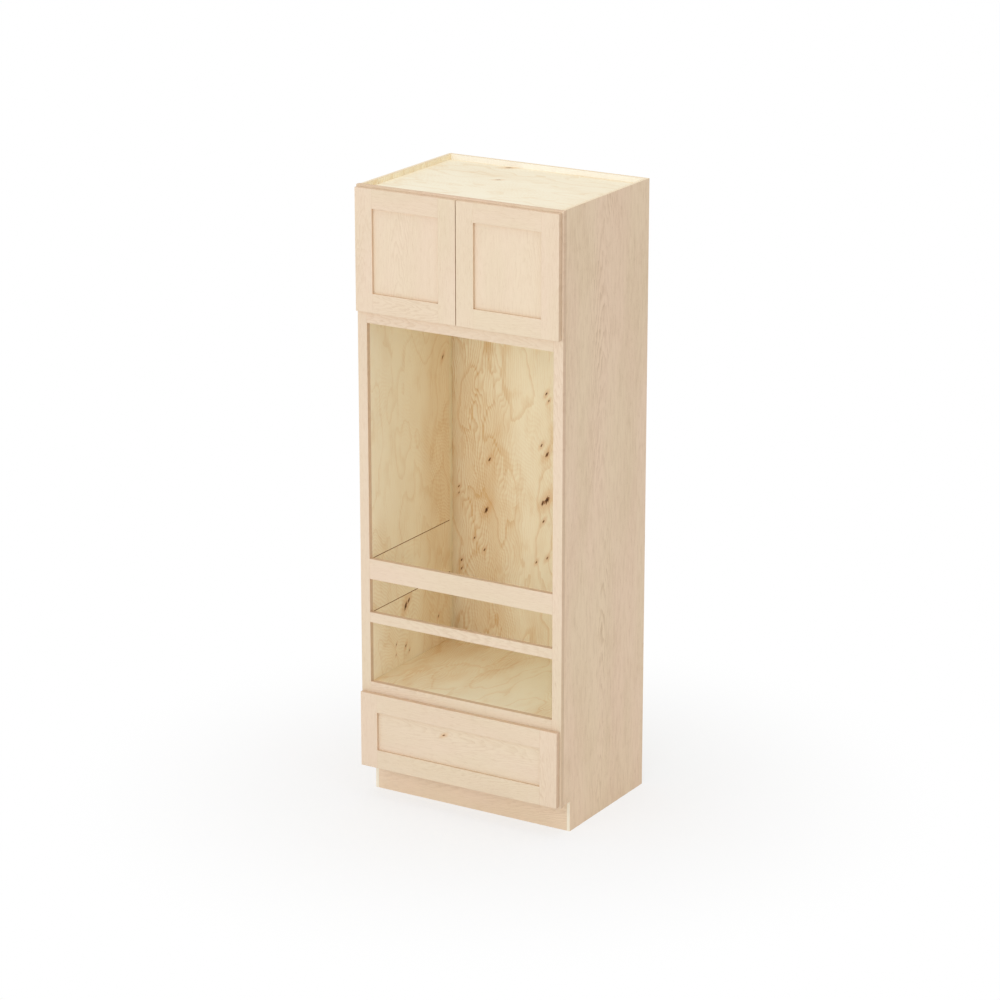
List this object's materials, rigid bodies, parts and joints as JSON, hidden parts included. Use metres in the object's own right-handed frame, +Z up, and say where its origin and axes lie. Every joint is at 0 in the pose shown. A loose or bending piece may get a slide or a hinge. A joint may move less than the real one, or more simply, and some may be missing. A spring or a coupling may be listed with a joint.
{
  "type": "tall oven housing unit",
  "caption": "Tall framed cabinet for a built-in oven: doors over the oven opening, smaller openings and a deep drawer under it, and a recessed toe space.",
  "frame": {"origin": "on the floor, in the middle of the unit's whole width and whole depth", "axes": "+X to the right across the front, +Y from the doors to the back panel, +Z up"},
  "size_m": [0.8382, 0.6302, 2.286],
  "materials": {
    "solid_maple": "sanded bare pale hardwood, straight grain",
    "veneered_ply": "sanded bare pale sliced veneer on plywood",
    "rotary_ply": "sanded bare rotary-cut veneer on plywood, wavy figure and pin knots",
    "drawer_ply": "sanded bare plywood with its plies showing on the upper edges",
    "zinc_steel": "bright zinc plating",
    "nickel_steel": "satin nickel plating",
    "rubber": "soft clear-grey bumper rubber"
  },
  "bodies": {
    "root": {"left_side_panel": "veneered_ply", "right_side_panel": "veneered_ply", "back_panel": "rotary_ply", "top_panel": "rotary_ply", "cupboard_floor": "rotary_ply", "oven_deck": "rotary_ply", "base_panel": "rotary_ply", "toe_board": "veneered_ply", "left_liner_lower": "rotary_ply", "left_liner_middle": "rotary_ply", "left_liner_upper": "rotary_ply", "right_liner_lower": "rotary_ply", "right_liner_middle": "rotary_ply", "right_liner_upper": "rotary_ply", "left_stile": "solid_maple", "right_stile": "solid_maple", "bottom_rail": "solid_maple", "drawer_rail": "solid_maple", "middle_rail": "solid_maple", "oven_rail": "solid_maple", "cupboard_rail": "solid_maple", "top_rail": "solid_maple", "left_slide_cabinet_member": "zinc_steel", "right_slide_cabinet_member": "zinc_steel", "left_upper_hinge_arm": "nickel_steel", "left_lower_hinge_arm": "nickel_steel", "right_upper_hinge_arm": "nickel_steel", "right_lower_hinge_arm": "nickel_steel"},
    "left_upper_link": {"left_upper_hinge_link": "nickel_steel"},
    "left_lower_link": {"left_lower_hinge_link": "nickel_steel"},
    "right_upper_link": {"right_upper_hinge_link": "nickel_steel"},
    "right_lower_link": {"right_lower_hinge_link": "nickel_steel"},
    "left_door": {"left_door_hinge_stile": "solid_maple", "left_door_lock_stile": "solid_maple", "left_door_top_rail": "solid_maple", "left_door_bottom_rail": "solid_maple", "left_door_panel": "veneered_ply", "left_upper_hinge_cup": "nickel_steel", "left_lower_hinge_cup": "nickel_steel"},
    "right_door": {"right_door_hinge_stile": "solid_maple", "right_door_lock_stile": "solid_maple", "right_door_top_rail": "solid_maple", "right_door_bottom_rail": "solid_maple", "right_door_panel": "veneered_ply", "right_upper_hinge_cup": "nickel_steel", "right_lower_hinge_cup": "nickel_steel"},
    "drawer": {"drawer_front_left_stile": "solid_maple", "drawer_front_right_stile": "solid_maple", "drawer_front_top_rail": "solid_maple", "drawer_front_bottom_rail": "solid_maple", "drawer_front_panel": "veneered_ply", "drawer_box_left_side": "drawer_ply", "drawer_box_right_side": "drawer_ply", "drawer_box_front": "drawer_ply", "drawer_box_back": "drawer_ply", "drawer_box_bottom": "drawer_ply", "left_slide_drawer_member": "zinc_steel", "right_slide_drawer_member": "zinc_steel"},
    "left_slide_middle": {"left_slide_middle_member": "zinc_steel"},
    "right_slide_middle": {"right_slide_middle_member": "zinc_steel"}
  },
  "joints": [
    {"name": "left_upper_link_swing", "type": "hinge", "parent": "root", "child": "left_upper_link", "pos_m": [-0.381, -0.30057, 2.20345], "axis": [0, 0, 1], "range_deg": [0, 36.75]},
    {"name": "left_lower_link_swing", "type": "hinge", "parent": "root", "child": "left_lower_link", "pos_m": [-0.381, -0.30057, 1.91135], "axis": [0, 0, 1], "range_deg": [0, 36.75]},
    {"name": "left_door_swing", "type": "hinge", "parent": "left_upper_link", "child": "left_door", "pos_m": [-0.40175, -0.30012, 2.20345], "axis": [0, 0, -1], "range_deg": [0, 141.75]},
    {"name": "right_upper_link_swing", "type": "hinge", "parent": "root", "child": "right_upper_link", "pos_m": [0.381, -0.30057, 2.20345], "axis": [0, 0, -1], "range_deg": [0, 36.75]},
    {"name": "right_lower_link_swing", "type": "hinge", "parent": "root", "child": "right_lower_link", "pos_m": [0.381, -0.30057, 1.91135], "axis": [0, 0, -1], "range_deg": [0, 36.75]},
    {"name": "right_door_swing", "type": "hinge", "parent": "right_upper_link", "child": "right_door", "pos_m": [0.40175, -0.30012, 2.20345], "axis": [0, 0, 1], "range_deg": [0, 141.75]},
    {"name": "drawer_slide", "type": "slide", "parent": "root", "child": "drawer", "axis": [0, -1, 0], "range_m": [0, 0.508]},
    {"name": "left_slide_middle_run", "type": "slide", "parent": "root", "child": "left_slide_middle", "axis": [0, -1, 0], "range_m": [0, 0.254]},
    {"name": "right_slide_middle_run", "type": "slide", "parent": "root", "child": "right_slide_middle", "axis": [0, -1, 0], "range_m": [0, 0.254]}
  ],
  "couplings": [
    {"joint": "left_upper_link_swing", "follows": "left_door_swing", "ratio": 0.25926},
    {"joint": "left_lower_link_swing", "follows": "left_door_swing", "ratio": 0.25926},
    {"joint": "right_upper_link_swing", "follows": "right_door_swing", "ratio": 0.25926},
    {"joint": "right_lower_link_swing", "follows": "right_door_swing", "ratio": 0.25926},
    {"joint": "left_slide_middle_run", "follows": "drawer_slide", "ratio": 0.5},
    {"joint": "right_slide_middle_run", "follows": "drawer_slide", "ratio": 0.5}
  ]
}
